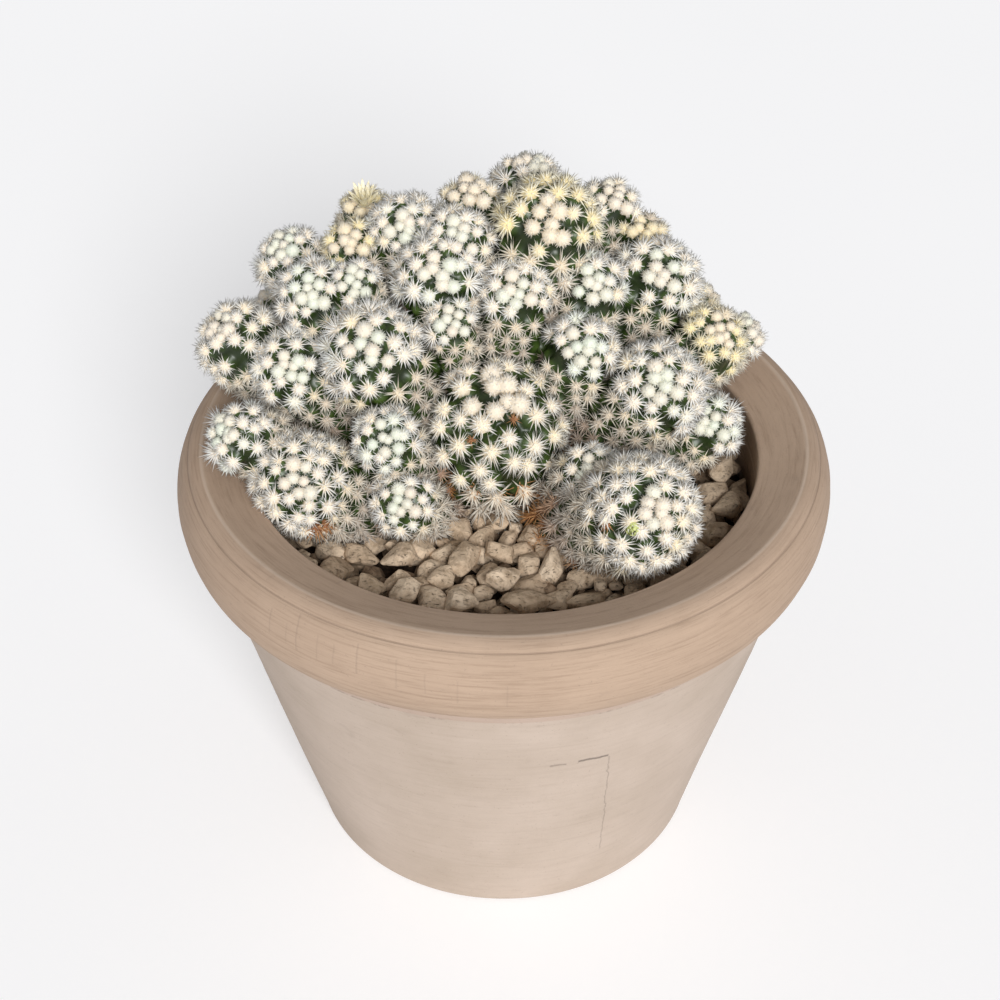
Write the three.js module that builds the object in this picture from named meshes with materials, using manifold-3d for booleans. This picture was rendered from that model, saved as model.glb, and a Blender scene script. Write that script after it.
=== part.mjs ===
// A clumping ball cactus in a thrown clay pot with a rolled rim, top-dressed with pumice gravel.
// Millimetres, +Z up. The origin is the middle of the pot's base, and -Y is the front.

import * as THREE from "three";
import { mergeVertices } from "three/addons/utils/BufferGeometryUtils.js";
import Module from "manifold-3d";

const wasm = await Module();
wasm.setup();

// Pot
const potHeight = 184.5;
const rimRadius = 130; // the widest part of the rolled rim
const rimWidth = 29.5; // from there in to the edge of the mouth
const rollHeight = 35.5; // from the roll's lower edge up to the crest
const crestInset = 11; // how far the crest lies inside the widest part
const crestAboveWidest = 20;
const lipDrop = 6; // how far the lip slopes down from the crest to the mouth
const rollUndercut = 7; // how far the roll's lower edge lies inside the widest part
const stepUnderRoll = 3.5;
const baseRadius = 82;
const baseEdgeRound = 3;
const wallThickness = 12;
const floorThickness = 14;

// Soil and gravel
const gravelBelowMouth = 25;
const gravelDepth = 9;
const gravelBump = 0.8;
const fitGap = 0.4; // between pieces that touch

// Plant
const rootX = -6; // the root crown's place, and its depth under the gravel's top
const rootY = 16;
const rootDepth = 36;
const stemShare = 0.5; // a stem's radius at the root crown, as a share of its head's
const budRadius = 3;
const budLength = 7;
const flowerLength = 13;
const flowerRadius = 5.5;

// Fineness of the faceted solids
const potSides = 48;
const fillSides = 40;
const headSides = 12;
const headRings = 5;

// The heads: the bearing around the root crown in degrees (0 is the front and 90 the right), how far
// out the middle of the head sits as a share of the mouth's radius, how high it is above the gravel,
// and its radius without spines. The first row is the topmost head, the last ones are the back.
const heads = [
  [166, 0.63, 96, 12],
  [-171, 0.47, 96, 10],
  [143, 0.38, 96, 17],
  [139, 0.73, 90, 10],
  [129, 0.78, 78, 10],
  [-139, 0.5, 90, 13],
  [-154, 0.28, 92, 12],
  [-140, 0.78, 84, 9],
  [-117, 0.88, 74, 12],
  [-122, 0.64, 84, 9],
  [-102, 0.69, 74, 13],
  [-103, 0.53, 81, 8],
  [-131, 0.25, 82, 15],
  [132, 0.14, 78, 12],
  [114, 0.43, 76, 12],
  [117, 0.74, 68, 16],
  [101, 0.89, 51, 13],
  [105, 1.04, 47, 8],
  [-84, 0.14, 72, 8],
  [-79, 0.45, 62, 17],
  [-95, 0.98, 56, 14],
  [-87, 0.76, 52, 14],
  [81, 0.36, 62, 12],
  [80, 0.66, 48, 16],
  [9, 0.15, 32, 24],
  [84, 0.87, 29, 11],
  [-69, 1.0, 43, 11],
  [-58, 0.84, 28, 17],
  [-47, 0.53, 42, 11],
  [-34, 0.58, 21, 10],
  [41, 0.87, 30, 19],
  [43, 0.58, 30, 10],
  [180, 0.72, 66, 14],
  [160, 0.8, 52, 13],
  [-158, 0.8, 56, 14],
  [-140, 0.92, 48, 14],
  [142, 0.92, 46, 14],
  [-122, 1.0, 40, 12],
  [124, 0.98, 42, 12],
  [172, 0.84, 26, 12],
  [-164, 0.86, 26, 13],
];

// The largest stones of the dressing: bearing around the pot's middle, distance in from the mouth's
// radius, turn about the upright, then length, width and height.
const stones = [
  [8, 29, 8, 22, 13, 9],
  [-19, 52, 75, 18, 11, 9],
  [-3, 59, -40, 15, 10, 8],
  [-30, 25, 30, 13, 11, 9],
  [-13, 28, 15, 14, 13, 9],
  [0, 42, -20, 12, 11, 9],
  [-42, 40, 25, 15, 11, 8],
  [20, 47, 80, 15, 10, 9],
  [-22, 39, 50, 13, 9, 8],
  [97, 12, 85, 17, 11, 9],
  [82, 10, 70, 14, 12, 9],
  [70, 12, 40, 15, 11, 8],
];

const mouthRadius = rimRadius - rimWidth;
const mouthHeight = potHeight - lipDrop;
const rollBottom = potHeight - rollHeight;
const bodyTopRadius = rimRadius - rollUndercut - stepUnderRoll;
const gravelTop = mouthHeight - gravelBelowMouth;
const soilTop = gravelTop - gravelDepth;
const root = new THREE.Vector3(rootX, rootY, gravelTop - rootDepth);

const clay = new THREE.MeshStandardMaterial({ color: 0xb9a08a, roughness: 0.9, metalness: 0 });
const earth = new THREE.MeshStandardMaterial({ color: 0x3d3028, roughness: 1, metalness: 0 });
const pumice = new THREE.MeshStandardMaterial({ color: 0xb39b80, roughness: 0.95, metalness: 0 });
const plantSkin = new THREE.MeshStandardMaterial({ color: 0xb9bd9e, roughness: 0.8, metalness: 0 });
const petals = new THREE.MeshStandardMaterial({ color: 0xe8dcae, roughness: 0.8, metalness: 0 });
const budSkin = new THREE.MeshStandardMaterial({ color: 0xbfc45a, roughness: 0.6, metalness: 0 });

// A lathe profile of (radius, height) pairs, turned about Z.
function turned(profile, sides) {
  const points = profile.map(([radius, height]) => new THREE.Vector2(radius, height));
  return new THREE.LatheGeometry(points, sides).rotateX(Math.PI / 2);
}

function arc(centreR, centreZ, radiusR, radiusZ, fromDeg, toDeg, steps) {
  const points = [];
  for (let i = 0; i <= steps; i++) {
    const angle = THREE.MathUtils.degToRad(fromDeg + ((toDeg - fromDeg) * i) / steps);
    points.push([centreR + radiusR * Math.cos(angle), centreZ + radiusZ * Math.sin(angle)]);
  }
  return points;
}

function solid(geometry) {
  const bare = geometry.clone();
  bare.deleteAttribute("normal");
  bare.deleteAttribute("uv");
  const merged = mergeVertices(bare, 1e-4);
  return new wasm.Manifold(
    new wasm.Mesh({
      numProp: 3,
      vertProperties: new Float32Array(merged.attributes.position.array),
      triVerts: new Uint32Array(merged.index.array),
    }),
  );
}

function geometryOf(manifold) {
  const mesh = manifold.getMesh();
  const geometry = new THREE.BufferGeometry();
  geometry.setAttribute("position", new THREE.BufferAttribute(mesh.vertProperties, 3));
  geometry.setIndex(new THREE.BufferAttribute(mesh.triVerts, 1));
  geometry.computeVertexNormals();
  return geometry;
}

// The one body that is left when a cut has made loose crumbs.
function largestBody(manifold) {
  return manifold.decompose().reduce((best, body) => (body.volume() > best.volume() ? body : best));
}

// The inside wall drops straight from the mouth until the body's taper leaves one wall's thickness.
const kneeHeight =
  (rollBottom * (mouthRadius + wallThickness - baseRadius)) / (bodyTopRadius - baseRadius);

function insideRadius(height) {
  const taper = (bodyTopRadius - baseRadius) / rollBottom;
  return Math.min(mouthRadius, baseRadius - wallThickness + taper * height);
}

// The pot's profile, swollen by grow on every side.
function potProfile(grow) {
  const widest = potHeight - crestAboveWidest;
  return [
    [0, -grow],
    [baseRadius - baseEdgeRound, -grow],
    [baseRadius + grow, baseEdgeRound],
    [bodyTopRadius + grow, rollBottom - grow],
    [rimRadius - rollUndercut + grow, rollBottom - grow],
    ...arc(rimRadius - rollUndercut, widest, rollUndercut + grow, widest - rollBottom, -60, 0, 3),
    ...arc(rimRadius - crestInset, widest, crestInset + grow, crestAboveWidest + grow, 18, 90, 5),
    [mouthRadius + 3, mouthHeight + 1 + grow],
    [mouthRadius - grow, mouthHeight],
    [mouthRadius - grow, kneeHeight],
    [insideRadius(floorThickness) - grow, floorThickness + grow],
    [0, floorThickness + grow],
  ];
}

function soilGeometry() {
  const bottom = floorThickness + fitGap;
  return turned(
    [
      [0, bottom],
      [insideRadius(bottom) - fitGap, bottom],
      [mouthRadius - fitGap, kneeHeight],
      [mouthRadius - fitGap, soilTop],
      [0, soilTop],
    ],
    fillSides,
  );
}

// A layer with an uneven top, before the stems are cut out of it.
function gravelGeometry() {
  const bottom = soilTop + fitGap;
  const edge = mouthRadius - fitGap;
  const rings = 5;
  const profile = [
    [0, bottom],
    [edge, bottom],
  ];
  for (let i = 0; i <= rings; i++) profile.push([edge * (1 - i / rings), gravelTop]);
  const geometry = turned(profile, fillSides);
  const position = geometry.attributes.position;
  for (let i = 0; i < position.count; i++) {
    if (position.getZ(i) < gravelTop - gravelDepth / 2) continue;
    const wave = Math.sin(position.getX(i) * 0.23) * Math.cos(position.getY(i) * 0.19);
    position.setZ(i, gravelTop + gravelBump * (wave - 1));
  }
  return geometry;
}

function headPlace([bearing, out, up]) {
  const angle = THREE.MathUtils.degToRad(bearing);
  const distance = out * mouthRadius;
  return new THREE.Vector3(
    rootX + distance * Math.sin(angle),
    rootY - distance * Math.cos(angle),
    gravelTop + up,
  );
}

// A club: a stem that widens from the root crown into a ball, so its side runs on into the ball.
function clubGeometry(head, grow) {
  const size = head[3] + grow;
  const foot = stemShare * head[3] + grow;
  const axis = headPlace(head).sub(root);
  const reach = axis.length();
  const shoulder = -THREE.MathUtils.radToDeg(Math.asin((size - foot) / reach));
  const profile = [[0, 0], [foot, 0], ...arc(0, reach, size, size, shoulder, 90, headRings)];
  profile[profile.length - 1][0] = 0;
  const upright = new THREE.Vector3(0, 0, 1);
  return turned(profile, headSides)
    .applyQuaternion(new THREE.Quaternion().setFromUnitVectors(upright, axis.normalize()))
    .translate(root.x, root.y, root.z);
}

// Two heads that press on each other are parted by a plane through the root crown, nearer to the
// smaller one. It gives the side that the first head keeps.
function partingPlane(head, other) {
  const axis = headPlace(head).sub(root);
  const otherAxis = headPlace(other).sub(root);
  const halfAngle = Math.asin(head[3] / axis.length());
  const otherHalf = Math.asin(other[3] / otherAxis.length());
  axis.normalize();
  otherAxis.normalize();
  const between = axis.angleTo(otherAxis);
  const share = (between * halfAngle) / (halfAngle + otherHalf);
  const hinge = new THREE.Vector3().crossVectors(axis, otherAxis).normalize();
  const seam = axis.clone().applyAxisAngle(hinge, share);
  return new THREE.Vector3().crossVectors(seam, hinge).normalize();
}

const rimGuard = solid(turned(potProfile(fitGap), potSides));
const underSoil = solid(
  new THREE.BoxGeometry(4 * rimRadius, 4 * rimRadius, potHeight).translate(
    0,
    0,
    soilTop + fitGap - potHeight / 2,
  ),
);

function headSolid(head) {
  let body = solid(clubGeometry(head, 0));
  for (const other of heads) {
    if (other === head) continue;
    const normal = partingPlane(head, other);
    body = body.trimByPlane(normal.toArray(), normal.dot(root) + fitGap / 2);
  }
  return largestBody(body.subtract(underSoil).subtract(rimGuard));
}

const clubs = heads.map((head) => solid(clubGeometry(head, fitGap)));

function gravelSolid() {
  const layer = clubs.reduce((left, club) => left.subtract(club), solid(gravelGeometry()));
  return largestBody(layer);
}

// A blunt angular stone, whose knocked-off corners follow from its number, swollen by grow.
function stoneGeometry([bearing, inward, turn, length, width, height], number, grow) {
  const geometry = new THREE.IcosahedronGeometry(0.5, 1);
  const position = geometry.attributes.position;
  const corner = new THREE.Vector3();
  for (let i = 0; i < position.count; i++) {
    corner.fromBufferAttribute(position, i);
    const knock = Math.sin(corner.x * 9 + number) * Math.cos(corner.y * 11 - number + corner.z * 7);
    corner.multiplyScalar(1 + 0.08 * knock);
    position.setXYZ(i, corner.x, corner.y, corner.z);
  }
  const angle = THREE.MathUtils.degToRad(bearing);
  const distance = mouthRadius - inward;
  geometry.scale(length + 2 * grow, width + 2 * grow, height + 2 * grow);
  geometry.rotateZ(THREE.MathUtils.degToRad(turn));
  geometry.computeBoundingBox();
  return geometry.translate(
    distance * Math.sin(angle),
    -distance * Math.cos(angle),
    gravelTop + fitGap - grow - geometry.boundingBox.min.z,
  );
}

// A stone makes room for the stems, the pot and the stones that were laid before it.
function stoneSolid(stone, number) {
  const laid = stones.slice(0, number).map((other, index) => solid(stoneGeometry(other, index, fitGap)));
  const inTheWay = [rimGuard, ...clubs, ...laid];
  const whole = solid(stoneGeometry(stone, number, 0));
  return largestBody(inTheWay.reduce((left, other) => left.subtract(other), whole));
}

// The dried flower and the bud stand on their heads, out from the root crown.
function onHead(profile, head, lean) {
  const axis = headPlace(head).sub(root).normalize();
  const tip = headPlace(head);
  const direction = axis.clone().add(lean).normalize();
  tip.addScaledVector(direction, head[3] + fitGap);
  const upright = new THREE.Vector3(0, 0, 1);
  return turned(profile, 12)
    .applyQuaternion(new THREE.Quaternion().setFromUnitVectors(upright, direction))
    .translate(tip.x, tip.y, tip.z);
}

const object = new THREE.Group();

function addPiece(name, geometry, material) {
  const mesh = new THREE.Mesh(geometry, material);
  mesh.name = name;
  object.add(mesh);
}

addPiece("pot", turned(potProfile(0), potSides), clay);
addPiece("potting_soil", soilGeometry(), earth);
addPiece("gravel_layer", geometryOf(gravelSolid()), pumice);

const twoDigits = (index) => String(index + 1).padStart(2, "0");

stones.forEach((stone, index) => {
  addPiece("stone_" + twoDigits(index), geometryOf(stoneSolid(stone, index)), pumice);
});

heads.forEach((head, index) => {
  addPiece("cactus_head_" + twoDigits(index), geometryOf(headSolid(head)), plantSkin);
});

const flowerHead = heads[7];
const budHead = heads[30];

addPiece(
  "dried_flower",
  onHead(
    [
      [0, 0],
      [1.6, 0],
      [2.2, flowerLength * 0.45],
      [flowerRadius, flowerLength],
      [0, flowerLength * 0.8],
    ],
    flowerHead,
    new THREE.Vector3(0.35, -0.9, 0.1),
  ),
  petals,
);
addPiece(
  "flower_bud",
  onHead(
    [
      [0, 0],
      [budRadius * 0.7, 0],
      [budRadius, budLength * 0.45],
      [budRadius * 0.6, budLength * 0.85],
      [0, budLength],
    ],
    budHead,
    new THREE.Vector3(-0.75, -0.5, -0.1),
  ),
  budSkin,
);

export default object;
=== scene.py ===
# Looks for a potted, clumping ball cactus: a thrown clay pot, pumice gravel, warty green heads,
# tufts of white spines and wool. Lengths are in metres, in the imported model's frame, except where
# a comment says millimetres.

import math
import random

import bmesh
import bpy
import numpy as np
from mathutils import Matrix, Quaternion, Vector, kdtree, noise


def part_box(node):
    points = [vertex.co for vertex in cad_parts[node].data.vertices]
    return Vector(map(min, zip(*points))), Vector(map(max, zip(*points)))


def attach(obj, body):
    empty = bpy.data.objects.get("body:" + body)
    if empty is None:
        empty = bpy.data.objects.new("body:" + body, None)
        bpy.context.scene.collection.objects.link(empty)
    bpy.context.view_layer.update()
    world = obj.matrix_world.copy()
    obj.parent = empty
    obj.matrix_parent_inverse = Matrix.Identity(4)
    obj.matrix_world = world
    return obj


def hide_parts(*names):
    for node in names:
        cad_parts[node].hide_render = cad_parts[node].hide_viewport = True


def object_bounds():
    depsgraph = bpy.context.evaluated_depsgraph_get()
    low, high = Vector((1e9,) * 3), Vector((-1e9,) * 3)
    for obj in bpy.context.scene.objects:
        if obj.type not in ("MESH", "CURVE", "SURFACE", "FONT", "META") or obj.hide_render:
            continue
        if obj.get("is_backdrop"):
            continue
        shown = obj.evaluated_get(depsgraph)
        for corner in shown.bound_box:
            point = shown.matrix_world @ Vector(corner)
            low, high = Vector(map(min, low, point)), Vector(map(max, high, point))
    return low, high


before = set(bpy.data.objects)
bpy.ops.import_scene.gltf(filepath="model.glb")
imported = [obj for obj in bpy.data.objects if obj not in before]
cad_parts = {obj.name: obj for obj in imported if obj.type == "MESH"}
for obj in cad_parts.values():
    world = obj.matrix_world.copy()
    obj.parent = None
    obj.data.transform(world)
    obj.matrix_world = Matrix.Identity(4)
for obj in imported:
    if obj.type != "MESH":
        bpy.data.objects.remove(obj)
cad_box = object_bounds()

MM = 0.001
GOLDEN_ANGLE = math.pi * (3 - math.sqrt(5))
UP = Vector((0, 0, 1))
RIGHT = Vector((1, 0, 0))

FIT_GAP = 0.4 * MM
LIP_DROP = 6 * MM
GRAVEL_BELOW_MOUTH = 25 * MM
ROOT_DEPTH = 36 * MM

pot_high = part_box("pot")[1]
gravel_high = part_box("gravel_layer")[1]
RIM_RADIUS = pot_high.x
POT_HEIGHT = pot_high.z
MOUTH_RADIUS = gravel_high.x + FIT_GAP
MOUTH_HEIGHT = POT_HEIGHT - LIP_DROP
GRAVEL_TOP = MOUTH_HEIGHT - GRAVEL_BELOW_MOUTH
# The root crown, from which every stem rises.
ROOT = Vector((-6 * MM, 16 * MM, GRAVEL_TOP - ROOT_DEPTH))

# Tones of spines and wool: places on one scale, which the spine material turns into colours.
YOUNG, WHITE, CREAM, YELLOW, BEIGE, GREY, DEAD = 0.0, 0.08, 0.22, 0.40, 0.58, 0.76, 0.94

# The map that a head's piece carries. Its second number is 0.01 and up on the skin, more where a
# wart is higher, and from 0.345 on the wool and 0.36 on a needle's root. The corners of a tuft's
# faces are a small step apart on it, so that none shrinks to a point there.
MAP = "OFBake"
MAP_STEP = 0.006
SKIN_START, SKIN_RANGE = 0.01, 0.26
WOOL_START, WOOL_STEP = 0.345, 0.005
NEEDLE_START = 0.36

# The heads, in the order of the nodes cactus_head_01 and on. Bearing around the root crown in
# degrees, distance out as a share of the mouth's radius, height above the gravel and radius in
# millimetres, how far the crown of the head turns from its stem's line to the front, the tone of
# its spines, and the spacing of its tufts in millimetres.
HEADS = [
    (166, 0.63, 96, 12, 0.3, 0.14, 6.8),
    (-171, 0.47, 96, 10, 0.5, 0.30, 7.4),
    (143, 0.38, 96, 17, 0.95, 0.36, 8.5),
    (139, 0.73, 90, 10, 0.6, 0.16, 6.8),
    (129, 0.78, 78, 10, 0.7, BEIGE, 6.4),
    (-139, 0.5, 90, 13, 1.0, 0.10, 6.4),
    (-154, 0.28, 92, 12, 0.9, 0.12, 6.8),
    (-140, 0.78, 84, 9, 0.6, 0.48, 6.4),
    (-117, 0.88, 74, 12, 0.5, WHITE, 6.4),
    (-122, 0.64, 84, 9, 0.8, 0.44, 6.8),
    (-102, 0.69, 74, 13, 0.9, 0.08, 6.4),
    (-103, 0.53, 81, 8, 0.9, 0.10, 6.1),
    (-131, 0.25, 82, 15, 1.0, 0.10, 7.4),
    (132, 0.14, 78, 12, 0.95, 0.10, 6.8),
    (114, 0.43, 76, 12, 1.0, 0.08, 6.8),
    (117, 0.74, 68, 16, 0.8, 0.10, 7.4),
    (101, 0.89, 51, 13, 0.6, 0.42, 6.1),
    (105, 1.04, 47, 8, 0.3, 0.12, 6.4),
    (-84, 0.14, 72, 8, 0.9, 0.10, 6.1),
    (-79, 0.45, 62, 17, 0.85, 0.10, 7.7),
    (-95, 0.98, 56, 14, 0.4, 0.16, 6.8),
    (-87, 0.76, 52, 14, 0.9, 0.10, 6.8),
    (81, 0.36, 62, 12, 1.0, 0.08, 6.8),
    (80, 0.66, 48, 16, 0.9, 0.10, 7.4),
    (9, 0.15, 32, 24, 0.35, CREAM, 10.1),
    (84, 0.87, 29, 11, 1.0, 0.08, 6.4),
    (-69, 1.0, 43, 11, 0.3, 0.08, 6.4),
    (-58, 0.84, 28, 17, 0.95, 0.14, 6.8),
    (-47, 0.53, 42, 11, 1.0, WHITE, 6.1),
    (-34, 0.58, 21, 10, 1.0, 0.10, 6.4),
    (41, 0.87, 30, 19, 0.6, 0.14, 7.4),
    (43, 0.58, 30, 10, 0.9, 0.10, 6.4),
    (180, 0.72, 66, 14, 0, 0.14, 6.8),
    (160, 0.8, 52, 13, 0, 0.10, 6.8),
    (-158, 0.8, 56, 14, 0, 0.12, 6.8),
    (-140, 0.92, 48, 14, 0, 0.22, 6.8),
    (142, 0.92, 46, 14, 0, 0.10, 6.8),
    (-122, 1.0, 40, 12, 0, 0.12, 6.8),
    (124, 0.98, 42, 12, 0, 0.30, 6.8),
    (172, 0.84, 26, 12, 0, 0.14, 6.8),
    (-164, 0.86, 26, 13, 0, 0.10, 6.8),
]

# ---------------------------------------------------------------- camera, light and floor

ELEVATION = math.radians(38.6)
# The direction from which the object is seen, and to which the crowns of the front heads turn.
FRONT = Vector((0, -math.cos(ELEVATION), math.sin(ELEVATION)))
CAMERA_DISTANCE = 0.860
CAMERA_AIM_HEIGHT = 0.1505
FOCAL_LENGTH_MM = 76.25
SENSOR_WIDTH_MM = 36
FLOOR_RADIUS = 6
FLOOR_DROP = 0.2 * MM


def add_camera():
    data = bpy.data.cameras.new("camera")
    data.sensor_width = SENSOR_WIDTH_MM
    data.lens = FOCAL_LENGTH_MM
    data.shift_x = -0.004
    camera = bpy.data.objects.new("camera", data)
    camera.location = Vector((0, 0, CAMERA_AIM_HEIGHT)) + CAMERA_DISTANCE * FRONT
    camera.rotation_euler = (math.pi / 2 - ELEVATION, 0, 0)
    bpy.context.collection.objects.link(camera)
    bpy.context.scene.camera = camera


def add_studio():
    """White surroundings and one broad, distant light from the front."""
    scene = bpy.context.scene
    scene.view_settings.view_transform = "Standard"
    world = bpy.data.worlds.new("studio")
    world.use_nodes = True
    sky = world.node_tree.nodes["Background"]
    sky.inputs["Color"].default_value = (0.985, 0.985, 1.0, 1)
    sky.inputs["Strength"].default_value = 0.33
    scene.world = world
    data = bpy.data.lights.new("front_light", "SUN")
    data.angle = math.radians(24)
    data.energy = 2.95
    light = bpy.data.objects.new("front_light", data)
    light.rotation_euler = Vector((0.2, -1, 0.6)).to_track_quat("Z", "Y").to_euler()
    bpy.context.collection.objects.link(light)


def add_floor():
    """A wide table top, a hair under the pot."""
    bm = bmesh.new()
    bmesh.ops.create_circle(bm, cap_ends=True, radius=FLOOR_RADIUS, segments=96)
    bmesh.ops.translate(bm, verts=bm.verts, vec=(0, 0, -FLOOR_DROP))
    floor = finished("floor", bm, [lit_table()])
    floor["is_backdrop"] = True


# ---------------------------------------------------------------- making pieces


def as_mesh(name, bm):
    """The finished bmesh as a mesh."""
    mesh = bpy.data.meshes.new(name)
    bm.to_mesh(mesh)
    bm.free()
    return mesh


def spun(bm, profile, sides):
    """Turns a profile of (radius, height) points round the Z axis."""
    verts = [bm.verts.new((radius, 0, height)) for radius, height in profile]
    edges = [bm.edges.new(pair) for pair in zip(verts, verts[1:])]
    bmesh.ops.spin(
        bm,
        geom=verts + edges,
        cent=(0, 0, 0),
        axis=(0, 0, 1),
        angle=math.tau,
        steps=sides,
        use_merge=True,
    )
    bmesh.ops.remove_doubles(bm, verts=bm.verts, dist=0.005 * MM)
    bmesh.ops.recalc_face_normals(bm, faces=bm.faces)


def finished(name, bm, materials, smooth=True):
    """The finished bmesh as an object in the scene."""
    mesh = as_mesh(name, bm)
    for material in materials:
        mesh.materials.append(material)
    if smooth:
        mesh.shade_smooth()
    piece = bpy.data.objects.new(name, mesh)
    bpy.context.collection.objects.link(piece)
    return piece


def joined(name, meshes, materials, smooth=True):
    """Several meshes as one object, the meshes used up."""
    bm = bmesh.new()
    for mesh in meshes:
        bm.from_mesh(mesh)
        bpy.data.meshes.remove(mesh)
    return finished(name, bm, materials, smooth)


def rides(piece, slot, *nodes):
    """Hangs a piece on the part's one body, in place of the nodes it covers. The slot is not used."""
    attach(piece, "root")
    if nodes:
        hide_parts(*nodes)


class Paint:
    """A node material in the making. A call adds nodes and returns the output to read."""

    def __init__(self, name):
        self.material = bpy.data.materials.new(name)
        self.material.use_nodes = True
        self.tree = self.material.node_tree
        self.shader = self.tree.nodes["Principled BSDF"]

    def add(self, kind, inputs=(), output=0, **settings):
        made = self.tree.nodes.new("ShaderNode" + kind)
        for key, value in settings.items():
            setattr(made, key, value)
        for key, value in dict(inputs).items():
            self.feed(made.inputs[key], value)
        return made.outputs[output]

    def feed(self, socket, value):
        if isinstance(value, bpy.types.NodeSocket):
            self.tree.links.new(value, socket)
        else:
            socket.default_value = value

    def set(self, **values):
        """Gives the shader its inputs, and returns the material."""
        for key, value in values.items():
            self.feed(self.shader.inputs[key.replace("_", " ")], value)
        return self.material

    def place(self, scale=(1, 1, 1)):
        """Object coordinates in millimetres, stretched by scale."""
        coordinates = self.add("TexCoord", output="Object")
        each = tuple(s / MM for s in scale)
        return self.add("Mapping", {"Vector": coordinates, "Scale": each})

    def parts(self, vector):
        """The three numbers of a vector."""
        made = self.tree.nodes.new("ShaderNodeSeparateXYZ")
        self.feed(made.inputs[0], vector)
        return made.outputs

    def own_map(self):
        """The two numbers of the piece's own map."""
        return self.parts(self.add("UVMap", uv_map=MAP))[:2]

    def noise(self, vector, size, detail=3, roughness=0.5):
        """Noise whose lumps are about size across, in the vector's own measure."""
        inputs = {"Vector": vector, "Scale": 1 / size, "Detail": detail, "Roughness": roughness}
        return self.add("TexNoise", inputs)

    def maths(self, operation, *values):
        return self.add("Math", enumerate(values), operation=operation)

    def ramp(self, value, low, high, to_low=0.0, to_high=1.0):
        """A number that goes smoothly from to_low to to_high as value goes from low to high."""
        inputs = {
            "Value": value,
            "From Min": low,
            "From Max": high,
            "To Min": to_low,
            "To Max": to_high,
        }
        return self.add("MapRange", inputs, interpolation_type="SMOOTHSTEP")

    def colours(self, value, stops):
        """A colour ramp with (place, colour) stops."""
        made = self.tree.nodes.new("ShaderNodeValToRGB")
        ramp = made.color_ramp
        while len(ramp.elements) < len(stops):
            ramp.elements.new(0.5)
        for element, (place, colour) in zip(ramp.elements, stops):
            element.position = place
            element.color = (*colour, 1)
        self.feed(made.inputs["Fac"], value)
        return made.outputs["Color"]

    def mix(self, share, first, second, blend="MIX"):
        made = self.tree.nodes.new("ShaderNodeMix")
        made.data_type = "RGBA"
        made.blend_type = blend
        self.feed(made.inputs[0], share)
        for socket, value in ((made.inputs[6], first), (made.inputs[7], second)):
            self.feed(socket, value if isinstance(value, bpy.types.NodeSocket) else (*value, 1))
        return made.outputs[2]

    def near(self, value, middle, half, fade):
        """1 up to half away from the middle, falling to 0 at fade away from it."""
        away = self.maths("ABSOLUTE", self.maths("SUBTRACT", value, float(middle)))
        return self.ramp(away, half, fade, 1.0, 0.0)

    # Used for real tints, and also for painted shade in the clay's groove and the pumice's pits and
    # for a painted shadow line on the clay.
    def tint_over(self, base, share, amount, colour):
        """Base with that amount of colour over it where share is 1."""
        return self.mix(self.maths("MULTIPLY", share, amount), base, colour)

    def bump(self, height, distance, strength=1.0):
        """A bumped normal, with the distance in millimetres."""
        inputs = {"Height": height, "Distance": distance * MM, "Strength": strength}
        return self.add("Bump", inputs)


# ---------------------------------------------------------------- materials


def lit_table():
    """White acrylic, faintly lit from below, so that shadows on it stay light."""
    paint = Paint("lit_table")
    tint = paint.colours(
        paint.noise(paint.place(), 400), [(0, (0.74, 0.74, 0.75)), (1, (0.77, 0.77, 0.78))]
    )
    return paint.set(
        Base_Color=tint,
        Roughness=0.9,
        Specular_IOR_Level=0.1,
        Emission_Color=(1, 1, 1, 1),
        Emission_Strength=0.30,
    )


# Where the clay changes: three heights on the wall, and two places on the rim given as height less
# radius, all in millimetres.
ROLL_EDGE = (147.5, 149.5)
STEP_HEIGHT = 142.6
# At this height a broken dark line is painted round the wall: painted shadow under the step.
SHADOW_LINE_HEIGHT = 139.2
CREST_PLACE = 65
GROOVE_PLACE = 56

# Hairlines and scratches of the clay, in millimetres: middle around the pot and up it, half their
# width and half their height, how far they wander, how far they slant, and how dark they are.
CLAY_MARKS = [
    (35, 107, 6, 0.4, 2, 0.05, 0.75),
    (21, 107, 3, 0.3, 2, 0.03, 0.45),
    (46, 68, 0.05, 38, 4, -0.12, 0.4),
    (-79, 172, 0.05, 5, 1, 0, 0.16),
    (-72, 171, 0.05, 4, 1, 0, 0.12),
    (-68, 173, 0.1, 7, 1, 0, 0.18),
    (-60, 171, 0.05, 5, 1, 0, 0.12),
    (-54, 171, 0.05, 4, 1, 0, 0.14),
    (-46, 172, 0.1, 6, 1, 0, 0.18),
    (-33, 170, 0.05, 6, 1, 0, 0.14),
    (-24, 168, 0.05, 4, 1, 0, 0.12),
    (-14, 166, 0.05, 5, 1, 0, 0.12),
    (1, 165, 0.05, 5, 1, 0, 0.12),
]


def clay_mark(paint, around, height, wobble, middle, up, half_width, half_height, wander, slant, dark):
    """As much as dark on a short line, 0 off it."""
    sway = paint.maths("MULTIPLY", paint.maths("SUBTRACT", wobble, 0.5), float(wander))
    above = paint.maths("SUBTRACT", height, float(up))
    beside = paint.maths("SUBTRACT", around, float(middle))
    leaned = paint.maths("SUBTRACT", beside, paint.maths("MULTIPLY", above, float(slant)))
    tilted = paint.maths("ADD", above, paint.maths("MULTIPLY", beside, float(slant)))
    across = paint.maths("ABSOLUTE", paint.maths("ADD", leaned, sway))
    past_side = paint.maths("SUBTRACT", across, half_width)
    along = paint.maths("ABSOLUTE", paint.maths("ADD", tilted, sway))
    past_end = paint.maths("SUBTRACT", along, half_height)
    return paint.ramp(paint.maths("MAXIMUM", past_side, past_end), -0.1, 0.45, dark, 0.0)


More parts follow.
